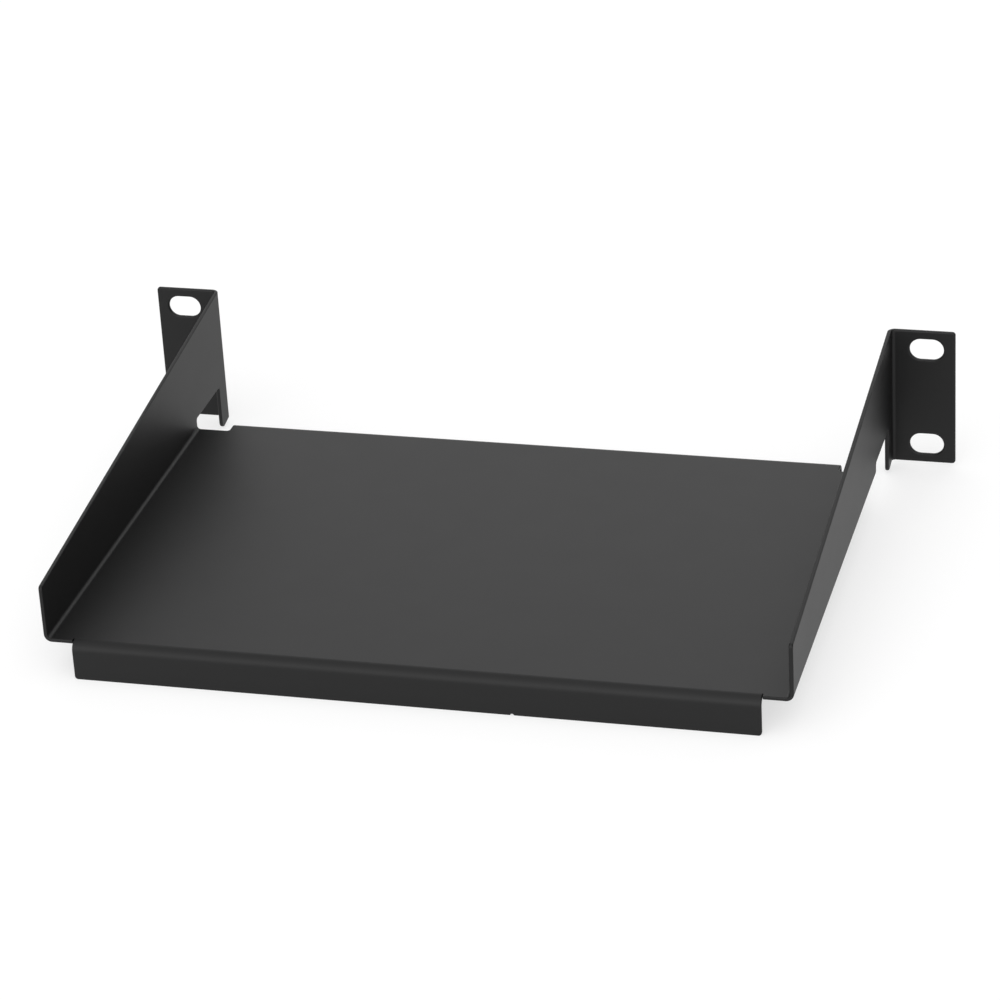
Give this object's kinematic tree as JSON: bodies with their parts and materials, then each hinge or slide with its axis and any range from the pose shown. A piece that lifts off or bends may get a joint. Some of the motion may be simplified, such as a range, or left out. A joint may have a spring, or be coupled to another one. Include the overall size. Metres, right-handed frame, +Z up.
{
  "type": "rack shelf",
  "caption": "Folded sheet-steel shelf for a ten-inch rack: flat tray, side walls rising to slotted ears, and a lip folded down along each end.",
  "frame": {"origin": "centre of the four mounting slots, on the face of the ears that meets the rack", "axes": "+X across the rack, the longest extent; +Z up, the shortest extent; +Y from the tray out through the ears, so the mounting face looks along -Y"},
  "size_m": [0.254, 0.1691, 0.0454],
  "materials": {
    "powder_coat": "fine matt black powder coat"
  },
  "bodies": {
    "root": {"folded_shelf": "powder_coat"}
  },
  "joints": []
}
